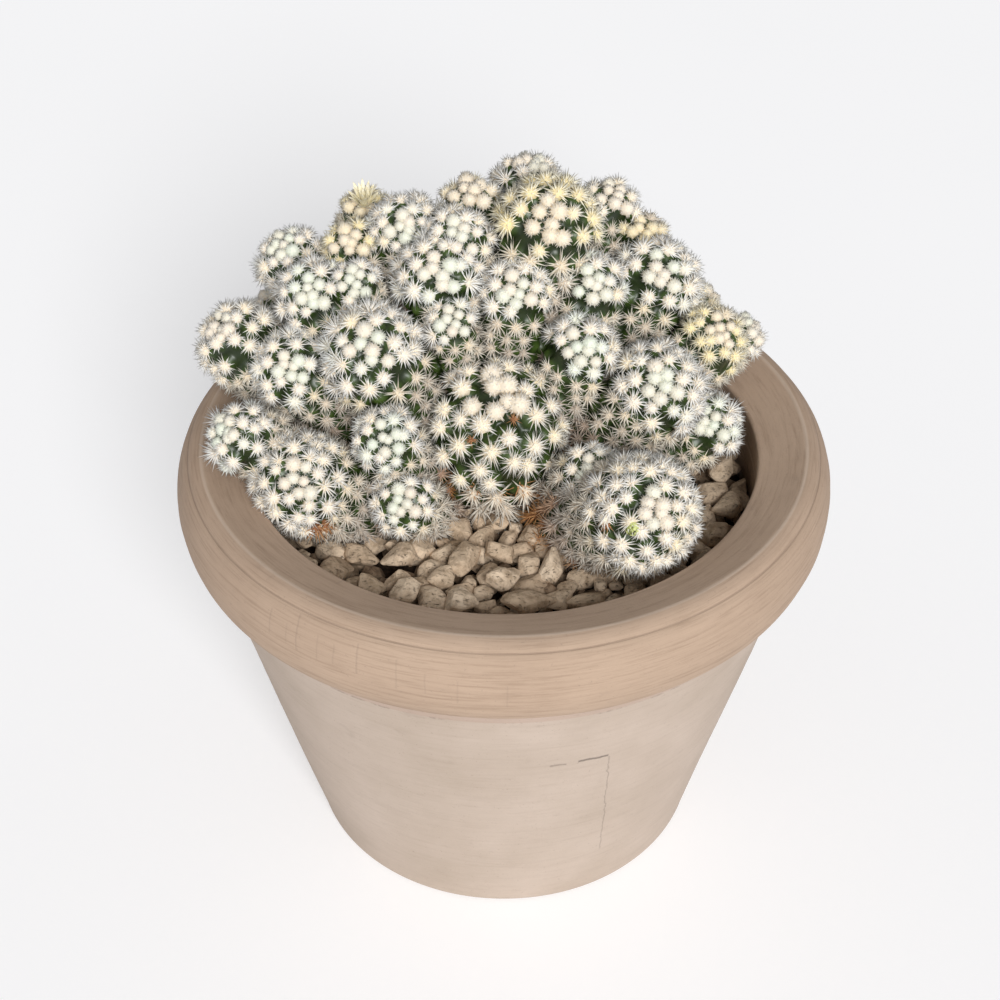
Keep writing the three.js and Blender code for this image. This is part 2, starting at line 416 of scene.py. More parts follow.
def unglazed_clay():
    """Grey-brown clay with turning lines, a brushed rim, and the nicks and hairlines of use."""
    paint = Paint("unglazed_clay")
    x, y, z = paint.parts(paint.add("TexCoord", output="Object"))
    height = paint.maths("DIVIDE", z, MM)
    sideways = paint.add("CombineXYZ", {"X": x, "Y": y})
    radius = paint.add("VectorMath", {0: sideways}, 1, operation="LENGTH")
    # Height less radius falls all the way from the mouth over the crest to the outside.
    down = paint.maths("SUBTRACT", height, paint.maths("DIVIDE", radius, MM))
    bearing = paint.maths("ARCTAN2", x, paint.maths("MULTIPLY", y, -1.0))
    around = paint.maths("MULTIPLY", bearing, 110.0)
    cloud = paint.noise(paint.place(), 45, detail=5, roughness=0.6)
    grain = paint.noise(paint.place(), 1.6, detail=4, roughness=0.7)
    # The wheel's streaks are long around the pot and short down it.
    slow_x, slow_y = paint.maths("MULTIPLY", x, 45.0), paint.maths("MULTIPLY", y, 45.0)
    wheel = paint.add("CombineXYZ", {"X": slow_x, "Y": slow_y, "Z": down})
    streaks = paint.noise(wheel, 1.1, detail=5, roughness=0.7)
    on_rim = paint.ramp(height, *ROLL_EDGE)
    body = paint.colours(cloud, [(0.25, (0.430, 0.346, 0.277)), (0.75, (0.532, 0.437, 0.367))])
    rim = paint.colours(cloud, [(0.25, (0.400, 0.287, 0.207)), (0.75, (0.47, 0.345, 0.255))])
    clay = paint.mix(on_rim, body, rim)
    line_share = paint.ramp(height, *ROLL_EDGE, 0.16, 0.5)
    lines = paint.colours(
        streaks,
        [(0.32, (0.62, 0.58, 0.54)), (0.5, (1, 1, 1)), (0.72, (1.12, 1.12, 1.12))],
    )
    clay = paint.mix(line_share, clay, paint.mix(1.0, clay, lines, "MULTIPLY"))
    crest = paint.near(down, CREST_PLACE, 0.2, 1.1)
    clay = paint.tint_over(clay, crest, 0.35, (0.66, 0.55, 0.45))
    # The groove is sunk by the bump and also darkened in colour: painted shade in it.
    groove = paint.near(down, GROOVE_PLACE, 0.15, 0.7)
    clay = paint.tint_over(clay, groove, 0.4, (0.20, 0.14, 0.10))
    step = paint.near(height, STEP_HEIGHT, 2.8, 3.6)
    clay = paint.tint_over(clay, step, 0.4, (0.42, 0.285, 0.225))
    wobble = paint.noise(paint.place(), 6, detail=4, roughness=0.6)
    # A broken dark line round the wall under the step: painted shadow.
    broken = paint.ramp(paint.noise(paint.place(), 14, detail=5, roughness=0.75), 0.5, 0.62)
    painted_shadow_line = paint.maths("MULTIPLY", paint.near(height, SHADOW_LINE_HEIGHT, 0.15, 0.8), broken)
    clay = paint.tint_over(clay, painted_shadow_line, 0.5, (0.20, 0.15, 0.12))
    speckle = paint.ramp(paint.noise(paint.place(), 0.9, detail=2), 0.66, 0.74)
    smudges = paint.noise(paint.place((1, 1, 1.7)), 11, detail=5, roughness=0.7)
    smudge = paint.ramp(smudges, 0.58, 0.78)
    light_dirt = paint.maths("MULTIPLY", speckle, 0.35)
    dirt = paint.maths("ADD", light_dirt, paint.maths("MULTIPLY", smudge, 0.22))
    clay = paint.mix(dirt, clay, (0.25, 0.19, 0.15))
    marks = None
    for mark in CLAY_MARKS:
        shown = clay_mark(paint, around, height, wobble, *mark)
        marks = shown if marks is None else paint.maths("MAXIMUM", marks, shown)
    clay = paint.mix(marks, clay, (0.15, 0.12, 0.10))
    raised = paint.maths("MULTIPLY", paint.maths("ADD", streaks, grain), 0.5)
    sunk = paint.maths("ADD", marks, paint.maths("MULTIPLY", groove, 0.6))
    return paint.set(
        Base_Color=clay,
        Roughness=paint.ramp(cloud, 0.2, 0.8, 0.78, 0.92),
        Specular_IOR_Level=0.3,
        Normal=paint.bump(paint.maths("SUBTRACT", raised, sunk), 0.4, 0.7),
    )


def pumice_stone():
    """Buff pumice, each stone its own shade, with fibres, pits and dust."""
    paint = Paint("pumice")
    own = paint.add("Attribute", output="Fac", attribute_name="stone_tone")
    stone = paint.colours(
        own,
        [(0, (0.32, 0.225, 0.15)), (0.5, (0.62, 0.475, 0.335)), (1, (0.80, 0.645, 0.48))],
    )
    blotch = paint.noise(paint.place(), 5, detail=5, roughness=0.7)
    shade = paint.colours(blotch, [(0.35, (0.42, 0.37, 0.32)), (0.55, (1, 1, 1))])
    stone = paint.mix(0.7, stone, shade, "MULTIPLY")
    fibres = paint.noise(paint.place((1, 3, 1)), 2.2, detail=6, roughness=0.75)
    pits = paint.ramp(fibres, 0.56, 0.66)
    # The pits are painted near black: painted shade in them.
    stone = paint.tint_over(stone, pits, 0.75, (0.11, 0.08, 0.055))
    relief = paint.maths("SUBTRACT", paint.noise(paint.place(), 1.3, detail=5, roughness=0.75), pits)
    return paint.set(
        Base_Color=stone,
        Roughness=0.95,
        Specular_IOR_Level=0.15,
        Normal=paint.bump(relief, 0.6, 0.8),
    )


def potting_soil():
    """Dark, crumbly earth."""
    paint = Paint("potting_soil")
    crumbs = paint.noise(paint.place(), 2.5, detail=6, roughness=0.7)
    earth = paint.colours(crumbs, [(0.3, (0.012, 0.008, 0.006)), (0.7, (0.07, 0.045, 0.03))])
    return paint.set(
        Base_Color=earth, Roughness=0.95, Specular_IOR_Level=0.1, Normal=paint.bump(crumbs, 1.5)
    )


def spine_and_wool():
    """Reads the piece's own map: across is the tone, up is the way from a spine's root to its tip."""
    paint = Paint("spine_and_wool")
    tone, along = paint.own_map()
    roots = paint.colours(
        tone,
        [
            (YOUNG, (0.70, 0.78, 0.66)),
            (WHITE, (0.80, 0.71, 0.585)),
            (CREAM, (0.81, 0.70, 0.53)),
            (YELLOW, (0.80, 0.68, 0.38)),
            (BEIGE, (0.70, 0.60, 0.47)),
            (GREY, (0.42, 0.35, 0.28)),
            (DEAD, (0.28, 0.11, 0.04)),
        ],
    )
    tips = paint.colours(
        tone,
        [
            (YOUNG, (0.84, 0.90, 0.84)),
            (WHITE, (0.90, 0.895, 0.87)),
            (CREAM, (0.88, 0.86, 0.80)),
            (YELLOW, (0.90, 0.85, 0.68)),
            (BEIGE, (0.80, 0.75, 0.65)),
            (GREY, (0.55, 0.50, 0.44)),
            (DEAD, (0.55, 0.28, 0.11)),
        ],
    )
    way = paint.ramp(along, 0.35, 0.75)
    tint = paint.mix(way, roots, tips)
    return paint.set(Base_Color=tint, Roughness=0.6, Specular_IOR_Level=0.35)


def cactus_skin():
    """Reads the piece's own map: across is a chance shade, up is the way up the side of a wart."""
    paint = Paint("cactus_skin")
    shade, up = paint.own_map()
    # The green runs from near black down in the valleys between warts to bright green on their tops;
    # the near black in the valleys is painted shade.
    green = paint.colours(
        up,
        [
            (0.01, (0.006, 0.011, 0.004)),
            (0.08, (0.012, 0.026, 0.004)),
            (0.18, (0.045, 0.080, 0.013)),
            (0.28, (0.085, 0.135, 0.030)),
        ],
    )
    green = paint.tint_over(green, shade, 0.5, (0.040, 0.070, 0.012))
    return paint.set(Base_Color=green, Roughness=0.38, Specular_IOR_Level=0.5)


# ---------------------------------------------------------------- pot


def arc(centre_r, centre_z, radius_r, radius_z, start, end, steps):
    """Points of an elliptical arc in millimetres, angles in degrees."""
    points = []
    for i in range(steps + 1):
        angle = math.radians(start + (end - start) * i / steps)
        points.append((centre_r + radius_r * math.cos(angle), centre_z + radius_z * math.sin(angle)))
    return points


def straight(start, end, steps):
    """Points from start up to, but without, end."""
    return [tuple(a + (b - a) * i / steps for a, b in zip(start, end)) for i in range(steps)]


def pot_profile():
    """Radius and height in millimetres, from the middle of the base round the wall to the floor."""
    rim, top = RIM_RADIUS / MM, POT_HEIGHT / MM
    mouth, mouth_up = MOUTH_RADIUS / MM, MOUTH_HEIGHT / MM
    # The roll: from its widest height it closes in by 11 up to the crest and by 7 down to its edge.
    crest_in, crest_up, tuck_in = 11, 20, 7
    widest = top - crest_up
    roll_low = top - 35.5
    body_top = rim - tuck_in - 3.5
    base, edge = 82, 3
    wall, floor = 12, 14
    lip = 1.5
    inner_foot = base - wall + 3.5
    # The inside drops straight from the mouth until the taper leaves one wall's thickness.
    knee = roll_low * (mouth + wall - base) / (body_top - base)
    points = straight((0, 0), (base - edge, 0), 16)
    points += arc(base - edge, edge, edge, edge, -90, -8, 5)
    points += straight((base + 0.2, edge + 1), (body_top - 0.4, roll_low - 2), 72)
    points += [
        (body_top, roll_low - 1.2),
        (body_top + 0.7, roll_low - 0.5),
        (body_top + 1.9, roll_low - 0.1),
    ]
    points += arc(rim - tuck_in, widest, tuck_in, widest - roll_low, -72, 0, 14)[:-1]
    points += arc(rim - crest_in, widest, crest_in, crest_up, 0, 90, 30)[:-1]
    points += straight((rim - crest_in, top), (mouth + lip, mouth_up + 0.6), 12)
    points += arc(mouth + lip, mouth_up - 1, lip, lip, 90, 180, 4)[:-1]
    points += straight((mouth, mouth_up - 1), (mouth, knee), 22)
    points += straight((mouth, knee), (inner_foot, floor), 8)
    points += straight((inner_foot, floor), (0, floor), 6)
    return points + [(0, floor)]


# The rim's deeper turning lines start at a height and reach their full depth a little above it,
# in millimetres. The groove runs round the roll: how far in from the rim, how deep and how wide.
RIM_LINES_FROM, RIM_LINES_FADE = 150, 6
GROOVE_IN, GROOVE_DEPTH, GROOVE_WIDTH = 4.8, 0.55, 0.7


def thrown(co):
    """Where a point of the pot lands once the wheel's lines and the hand's unevenness are added."""
    out = Vector((co.x, co.y, 0))
    if out.length < 1e-6:
        return co
    out.normalize()
    rim_share = min(max((co.z / MM - RIM_LINES_FROM) / RIM_LINES_FADE, 0), 1)
    lines = noise.noise(Vector((co.x * 7, co.y * 7, co.z * 420)))
    fine = noise.noise(Vector((co.x * 10, co.y * 10, co.z * 1100 + 5)))
    sway = noise.noise(co * 14)
    groove = 0
    if co.z > POT_HEIGHT - 10 * MM:
        away = math.hypot(co.x, co.y) / MM - (RIM_RADIUS / MM - GROOVE_IN)
        groove = GROOVE_DEPTH * math.exp(-((away / GROOVE_WIDTH) ** 2))
    push = sway * 0.45 + lines * (0.08 + 0.14 * rim_share) + fine * 0.06 * rim_share - groove
    return co + out * push * MM


def make_pot():
    """The pot, turned in one and then made uneven."""
    bm = bmesh.new()
    spun(bm, [(radius * MM, height * MM) for radius, height in pot_profile()], 256)
    for vert in bm.verts:
        vert.co = thrown(vert.co)
    rides(finished("clay_pot", bm, [unglazed_clay()]), "clay", "pot")


# ---------------------------------------------------------------- soil and gravel


def make_soil():
    """A plug of earth with a crumbly top."""
    low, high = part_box("potting_soil")
    edge = high.x
    bm = bmesh.new()
    rings = 48
    shoulder = (low.z + high.z) / 2 + 30 * MM
    profile = [(0, low.z), (edge * 0.7, low.z), (edge, shoulder), (edge, high.z)]
    profile += [(edge * (1 - i / rings), high.z) for i in range(1, rings + 1)]
    spun(bm, profile, 128)
    for vert in bm.verts:
        if vert.co.z > high.z - 0.1 * MM and vert.co.xy.length < edge - 0.1 * MM:
            vert.co.z += (1.5 + 2 * noise.noise(vert.co * 160) + noise.noise(vert.co * 420)) * MM
    rides(finished("potting_soil_fill", bm, [potting_soil()]), "potting_soil", "potting_soil")


def stone(rng, centre, size, turn, cuts, paleness, worn=0):
    """A broken stone as a mesh: a block struck flat by cuts all round, and stretched to size.

    Its edges are sharp, or bevelled if worn is 1, and its faces are divided once if worn is 2.
    """
    bm = bmesh.new()
    bmesh.ops.create_cube(bm, size=4)
    for i in range(cuts):
        height = 1 - 2 * (i + 0.5) / cuts
        swing = i * GOLDEN_ANGLE + rng.uniform(-0.5, 0.5)
        level = math.sqrt(1 - height**2)
        tip = height + rng.uniform(-0.3, 0.3)
        normal = Vector((level * math.cos(swing), level * math.sin(swing), tip)).normalized()
        everything = bm.verts[:] + bm.edges[:] + bm.faces[:]
        place = normal * rng.uniform(0.72, 1.08)
        bmesh.ops.bisect_plane(bm, geom=everything, plane_co=place, plane_no=normal, clear_outer=True)
        bmesh.ops.edgeloop_fill(bm, edges=[edge for edge in bm.edges if edge.is_boundary])
    if worn:
        bmesh.ops.bevel(bm, geom=bm.edges[:], offset=0.13, segments=1, profile=0.5, affect="EDGES")
    bmesh.ops.triangulate(bm, faces=bm.faces)
    for _ in range(worn - 1):
        bmesh.ops.subdivide_edges(bm, edges=bm.edges, cuts=1, use_grid_fill=True)
    tone = bm.verts.layers.float.new("stone_tone")
    own = min(max(rng.gauss(paleness, 0.22), 0), 1)
    shift = Vector((rng.uniform(0, 90), rng.uniform(0, 90), rng.uniform(0, 90)))
    for vert in bm.verts:
        dents = noise.noise(vert.co * 2.2 + shift) + 0.5 * noise.noise(vert.co * 6 + shift)
        vert.co *= 1 + 0.05 * dents
        vert[tone] = own
    low = Vector([min(v.co[k] for v in bm.verts) for k in range(3)])
    high = Vector([max(v.co[k] for v in bm.verts) for k in range(3)])
    made = as_mesh("stone", bm)
    fit = Matrix.Diagonal((*(size[k] / (high[k] - low[k]) for k in range(3)), 1))
    roll = Matrix.Rotation(rng.uniform(-0.3, 0.3), 4, "X")
    pitch = Matrix.Rotation(rng.uniform(-0.3, 0.3), 4, "Y")
    turned = Matrix.Rotation(turn, 4, "Z") @ (roll @ pitch)
    made.transform(Matrix.Translation(centre) @ turned @ fit @ Matrix.Translation(-(low + high) / 2))
    return made


STONES = [name for name in sorted(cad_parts) if name.startswith("stone_")]
# How far each of the large stones is turned, in degrees, and its size in millimetres.
STONE_TURNS = [8, 75, -40, 30, 15, -20, 25, 80, 50, 85, 70, 40]
STONE_SIZES = [
    (22, 13, 9),
    (18, 11, 9),
    (15, 10, 8),
    (13, 11, 9),
    (14, 13, 9),
    (12, 11, 9),
    (15, 11, 8),
    (15, 10, 9),
    (13, 9, 8),
    (17, 11, 9),
    (14, 12, 9),
    (15, 11, 8),
]

BED_COUNT, TOP_COUNT = 460, 300
# Small stones stay this far from the root crown.
CROWN_RADIUS = 26 * MM
# How often the stones push each other apart before they lie still.
PUSHES = 40


def make_large_stones(material):
    """The stones that have a node of their own."""
    for name, turn, size in zip(STONES, STONE_TURNS, STONE_SIZES):
        low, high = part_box(name)
        rng = random.Random(name)
        sides = [side * MM for side in size]
        made = stone(rng, (low + high) / 2, sides, math.radians(turn), cuts=14, paleness=0.7, worn=2)
        rides(joined("pumice_" + name, [made], [material], smooth=False), "pumice", name)


def free_of_stems(x, y, gap):
    """Whether a place is clear of the root crown and of each head whose ball is down at the gravel.

    It doesn't look at the stems that lean out over the gravel.
    """
    level = GRAVEL_TOP + 3 * MM
    for head in PLACED:
        drop = head.centre.z - level
        if abs(drop) < head.radius:
            reach = math.sqrt(head.radius**2 - drop**2)
            if math.hypot(x - head.centre.x, y - head.centre.y) < reach + gap:
                return False
    return math.hypot(x - ROOT.x, y - ROOT.y) > CROWN_RADIUS + gap


def lay_out_stones(rng, count, smallest, largest, fixed):
    """Places discs on the gravel and lets them push each other apart, the fixed ones staying put.

    Returns the loose ones that are free of stems, as far as free_of_stems looks, as x, y, radius
    and 1.
    """
    edge = MOUTH_RADIUS - 1 * MM
    discs = [list(disc) + [0.0] for disc in fixed]
    for _ in range(count):
        radius = rng.uniform(smallest, largest) / 2
        distance = math.sqrt(rng.uniform(0.05, 1)) * (edge - radius)
        angle = rng.uniform(0, math.tau)
        discs.append([distance * math.cos(angle), distance * math.sin(angle), radius, 1.0])
    for _ in range(PUSHES):
        tree = kdtree.KDTree(len(discs))
        for i, disc in enumerate(discs):
            tree.insert((disc[0], disc[1], 0), i)
        tree.balance()
        for i, (x, y, radius, loose) in enumerate(discs):
            if not loose:
                continue
            push_x = push_y = 0.0
            for place, other, gap in tree.find_range((x, y, 0), radius + largest / 2):
                overlap = radius + discs[other][2] - gap
                if other != i and gap > 0 and overlap > 0:
                    push_x += (x - place.x) / gap * overlap * 0.5
                    push_y += (y - place.y) / gap * overlap * 0.5
            x, y = x + push_x, y + push_y
            out = math.hypot(x, y)
            if out > edge - radius:
                x, y = x * (edge - radius) / out, y * (edge - radius) / out
            discs[i][0], discs[i][1] = x, y
    return [disc for disc in discs if disc[3] and free_of_stems(disc[0], disc[1], -1 * MM)]


def make_gravel(material):
    """A dark bed of small stones, and a paler top layer between the large ones."""
    rng = random.Random(7)
    large = []
    for name in STONES:
        low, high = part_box(name)
        middle = (low + high) / 2
        # A little under half of its mean width, so that small stones tuck in under it.
        large.append((middle.x, middle.y, (high.x - low.x + high.y - low.y) / 4.4))
    bed = []
    # The bed's stones get a low paleness: their darkness is painted shade down in the gaps between the
    # top stones.
    for x, y, radius, _ in lay_out_stones(rng, BED_COUNT, 6 * MM, 10 * MM, []):
        size = [2.2 * radius * rng.uniform(0.85, 1.2), 1.9 * radius, 1.5 * radius]
        centre = Vector((x, y, GRAVEL_TOP - rng.uniform(4.5, 6.5) * MM))
        bed.append(stone(rng, centre, size, rng.uniform(0, math.tau), cuts=10, paleness=0.15))
    rides(joined("gravel_bed", bed, [material], smooth=False), "pumice", "gravel_layer")
    top = []
    for x, y, radius, _ in lay_out_stones(rng, TOP_COUNT, 5 * MM, 13 * MM, large):
        size = [2.3 * radius * rng.uniform(0.9, 1.25), 1.9 * radius, 1.6 * radius]
        centre = Vector((x, y, GRAVEL_TOP + rng.uniform(-1, 1.5) * MM))
        turn = rng.uniform(0, math.tau)
        top.append(stone(rng, centre, size, turn, cuts=12, paleness=0.6, worn=1))
    rides(joined("gravel_top", top, [material], smooth=False), "pumice", "gravel_layer")


# ---------------------------------------------------------------- plant

# How far the foot of the warts lies under a head's full radius.
WART_FOOT = 1.5 * MM
# How high a grown wart stands, as a share of the spacing of its head's warts.
WART_SHARE = 0.42
# How much a stem narrows on its way down to the root crown, as a share of its head's radius.
STEM_SHARE = 0.5
# Warts lie in a close packing: the pitch of their rows as a share of their spacing.
ROW_PITCH = 0.87
# How grown the first wart at a crown is, and how many warts it takes to grow by a whole.
FIRST_GROWTH, GROWTH_COUNT = 0.4, 18
# A wart's age is its angle from the crown in radians, and goes on rising down the stem. From
# OLD_AGE on its tuft is an old one.
OLD_AGE = 2.2
STEM_AGE, ROW_AGE = 2.4, 0.4
# Up to which growth a wart has a crown tuft, and up to which a young one.
CROWN_GROWTH, YOUNG_GROWTH = 0.75, 0.98
# The tufts are made for this spacing, and the big ones are for heads spaced wider than the second.
USUAL_SPACING, BIG_SPACING = 6.8 * MM, 9.5 * MM
# An old tuft with a neighbour this near in front of it is left off.
CROWDED = 9 * MM

# Withered remains of flowers and spines: where they sit on a head, to the right and up as seen
# from the front, as shares of its radius, and how large they are.
REMNANTS = {
    "cactus_head_25": [
        (0.03, 0.97, 1.2),
        (0.3, 0.12, 1),
        (0.2, -0.22, 1),
        (-0.36, -0.2, 1),
        (-0.62, -0.76, 1.7),
        (-0.3, -0.93, 1.9),
        (0.05, -0.98, 1.8),
        (0.4, -0.9, 1.9),
    ],
    "cactus_head_28": [(0.3, -0.93, 2.1), (0.5, -0.85, 1.8)],
    "cactus_head_31": [(-0.66, -0.2, 1.1), (-0.58, 0.2, 1)],
}


class Head:
    """Where a head sits and how it looks, in metres."""

    def __init__(self, number, row):
        bearing, out, up, size, facing, tone, spacing = row
        self.name = f"cactus_head_{number:02d}"
        angle = math.radians(bearing)
        distance = out * MOUTH_RADIUS
        x = ROOT.x + distance * math.sin(angle)
        y = ROOT.y - distance * math.cos(angle)
        self.centre = Vector((x, y, GRAVEL_TOP + up * MM))
        self.radius = size * MM
        self.reach = (self.centre - ROOT).length
        self.stem = (self.centre - ROOT).normalized()
        self.crown = self.stem.lerp(FRONT, facing).normalized()
        # The angle below the head's middle at which the ball runs into the stem.
        self.neck = -math.asin(STEM_SHARE * self.radius / self.reach)
        self.tone = tone
        self.spacing = spacing * MM
        self.wart = WART_SHARE * self.spacing
        self.rng = random.Random(number)

    def stem_radius(self, along):
        """The radius of the club at a distance from the root crown."""
        shoulder = self.reach + self.radius * math.sin(self.neck)
        foot = (1 - STEM_SHARE) * self.radius
        return foot + (self.radius * math.cos(self.neck) - foot) * along / shoulder

    def holds(self, place, depth):
        """Whether a place lies inside this head or its stem, more than depth under the skin."""
        if (place - self.centre).length < self.radius - depth:
            return True
        along = (place - ROOT).dot(self.stem)
        if not 0 < along < self.reach:
            return False
        return (place - ROOT - self.stem * along).length < self.stem_radius(along) - depth


PLACED = [Head(number, row) for number, row in enumerate(HEADS, 1)]


def inside_another(head, place, depth):
    """Whether a place lies more than depth inside some other head."""
    return any(other is not head and other.holds(place, depth) for other in PLACED)


class Wart:
    """A wart's foot on the skin, which way it points, how grown it is, and how old."""

    def __init__(self, head, foot, out, growth, age):
        self.foot = foot
        self.out = out
        self.growth = growth
        self.age = age
        self.tip = foot + out * head.wart * math.sqrt(growth)


def ball_warts(head):
    """Warts in the spirals that leave the crown, close together there and spreading as they grow."""
    area = head.spacing**2 * ROW_PITCH
    whole = math.tau * 2 * head.radius**2
    turn = UP.rotation_difference(head.crown)
    covered = 0.0
    number = 0
    while True:
        growth = min(1, FIRST_GROWTH + number / GROWTH_COUNT)
        covered += area * growth
        height = 1 - 2 * (covered - area * growth / 2) / whole
        if height < -0.9:
            return
        polar = math.acos(height)
        swing = number * GOLDEN_ANGLE + head.rng.uniform(-0.08, 0.08)
        level = math.sin(polar)
        out = turn @ Vector((level * math.cos(swing), level * math.sin(swing), height))
        number += 1
        if out.dot(head.stem) > math.sin(head.neck):
            out = (out + Vector([head.rng.gauss(0, 0.05) for _ in range(3)])).normalized()
            foot = head.centre + out * (head.radius - WART_FOOT)
            yield Wart(head, foot, out, growth, polar)


def stem_warts(head):
    """Rows of old warts round the stem, from the ball down to the gravel."""
    across = head.stem.orthogonal().normalized()
    row = 0
    # Distance along the stem from the root crown, from just under the ball downwards.
    below = head.reach + head.radius * math.sin(head.neck) - head.spacing * 0.8
    while below > 0.3 * head.reach:
        radius = head.stem_radius(below)
        count = max(5, round(math.tau * radius / head.spacing))
        for i in range(count):
            swing = math.tau * (i + row / 2) / count + head.rng.uniform(-0.1, 0.1)
            out = Quaternion(head.stem, swing) @ across
            foot = ROOT + head.stem * below + out * (radius - WART_FOOT)
            if foot.z > GRAVEL_TOP - 2 * MM:
                yield Wart(head, foot, out, 1.0, STEM_AGE + ROW_AGE * row)
        row += 1
        below -= head.spacing * ROW_PITCH


def make_skin(head, warts):
    """A club that runs down to the root crown, with a wart raised at each place, as a mesh."""
    bm = bmesh.new()
    step = 1.15 * MM
    sides = max(28, round(math.tau * head.radius / step))
    rings = max(12, round((math.pi / 2 - head.neck) * head.radius / step))
    shoulder = head.reach + head.radius * math.sin(head.neck)
    low = 0.25 * head.reach
    rows = max(6, round((shoulder - low) / (1.7 * MM)))
    profile = []
    for i in range(rows):
        up = low + (shoulder - low) * i / rows
        profile.append((head.stem_radius(up) - WART_FOOT, up))
    ball = head.radius - WART_FOOT
    for i in range(rings):
        angle = head.neck + (math.pi / 2 - head.neck) * i / rings
        profile.append((ball * math.cos(angle), head.reach + ball * math.sin(angle)))
    profile.append((0, head.reach + ball))
    spun(bm, profile, sides)
    bmesh.ops.contextual_create(bm, geom=[e for e in bm.edges if e.is_boundary])
    bmesh.ops.recalc_face_normals(bm, faces=bm.faces)
    turn = UP.rotation_difference(head.stem).to_matrix()
    bmesh.ops.rotate(bm, verts=bm.verts, cent=(0, 0, 0), matrix=turn)
    bmesh.ops.translate(bm, verts=bm.verts, vec=ROOT)
    bm.normal_update()
    places = np.array([vert.co for vert in bm.verts])
    feet = np.array([wart.foot for wart in warts])
    sizes = np.sqrt([wart.growth for wart in warts])
    apart = np.linalg.norm(places[:, None] - feet[None], axis=2)
    rise = np.clip(1 - (apart / (0.56 * head.spacing * sizes)) ** 2, 0, 1)
    heights = (rise * sizes).max(axis=1)
    uv = bm.loops.layers.uv.new(MAP)
    moves = [vert.normal * head.wart * float(height) for vert, height in zip(bm.verts, heights)]
    for vert, move, height in zip(bm.verts, moves, heights):
        shade = 0.5 + 0.45 * noise.noise(vert.co * 300)
        vert.co += move
        for loop in vert.link_loops:
            loop[uv].uv = (shade, SKIN_START + SKIN_RANGE * height)
    return as_mesh(head.name, bm)


def needle(name, last):
    """A three-sided needle of unit length and thickness, mapped from its root up to last."""
    bm = bmesh.new()
    uv = bm.loops.layers.uv.new(MAP)
    bmesh.ops.create_cone(bm, segments=3, radius1=1, radius2=0, depth=1)
    bmesh.ops.translate(bm, verts=bm.verts, vec=(0, 0, 0.5))
    for face in bm.faces:
        for number, loop in enumerate(face.loops):
            along = NEEDLE_START + (last - NEEDLE_START) * loop.vert.co.z
            loop[uv].uv = (MAP_STEP * number, along)
    return as_mesh(name, bm)


def tuft(rng, cushion, *layers):
    """A cushion of wool with layers of needles fanned out of it, standing on the origin along Z.

    The cushion is its radius in millimetres. A layer is a needle, how many, the range of their
    lean in degrees, and their length and their radius at the root in millimetres.
    """
    bm = bmesh.new()
    uv = bm.loops.layers.uv.new(MAP)
    bmesh.ops.create_icosphere(bm, subdivisions=1, radius=cushion * MM)
    for face in bm.faces:
        for number, loop in enumerate(face.loops):
            loop[uv].uv = (MAP_STEP * number, WOOL_START + WOOL_STEP * number)
    for shape, count, steepest, flattest, length, thickness in layers:
        for i in range(count):
            lean = steepest + (flattest - steepest) * (i + 0.5) / count + rng.uniform(-7, 7)
            swing = i * GOLDEN_ANGLE + rng.uniform(-0.3, 0.3)
            turn = Matrix.Rotation(swing, 4, "Z") @ Matrix.Rotation(math.radians(lean), 4, "Y")
            roll = Matrix.Rotation(rng.uniform(0, math.tau), 4, "Z")
            own = length * rng.uniform(0.82, 1.15) * MM
            size = Matrix.Diagonal((thickness * MM, thickness * MM, own, 1))
            placed = shape.copy()
            placed.transform(turn @ Matrix.Translation((0, 0, 0.6 * cushion * MM)) @ roll @ size)
            bm.from_mesh(placed)
            bpy.data.meshes.remove(placed)
    return as_mesh("tuft", bm)


def make_tufts():
    """The tuft shapes that every head draws on, by kind."""
    rng = random.Random(3)
    stub = needle("stub", 0.60)
    spine = needle("spine", 0.98)
    # For each kind: how many shapes of it there are, its cushion, and its layers.
    kinds = {
        "crown": (3, 3.2, (stub, 64, 0, 105, 2.0, 0.56)),
        "young": (3, 2.8, (stub, 54, 0, 85, 1.8, 0.5), (spine, 30, 15, 94, 3.3, 0.40)),
        "full": (
            6,
            2.8,
            (stub, 54, 0, 82, 1.8, 0.52),
            (spine, 12, 18, 50, 3.7, 0.40),
            (spine, 30, 50, 98, 4.5, 0.42),
        ),
        "big": (
            4,
            3.2,
            (stub, 62, 0, 82, 2.2, 0.58),
            (spine, 14, 20, 50, 4.4, 0.42),
            (spine, 36, 50, 100, 5.4, 0.44),
        ),
        "star": (2, 1.8, (stub, 22, 0, 60, 1.6, 0.4), (spine, 36, 10, 94, 6.2, 0.40)),
        "old": (4, 2.1, (stub, 20, 0, 70, 1.7, 0.46), (spine, 30, 20, 98, 4.8, 0.38)),
        "remnant": (2, 1.1, (stub, 8, 0, 80, 2.4, 0.5), (spine, 20, 10, 98, 3.2, 0.24)),
    }
    return {
        kind: [tuft(rng, cushion, *layers) for _ in range(shapes)]
        for kind, (shapes, cushion, *layers) in kinds.items()
    }


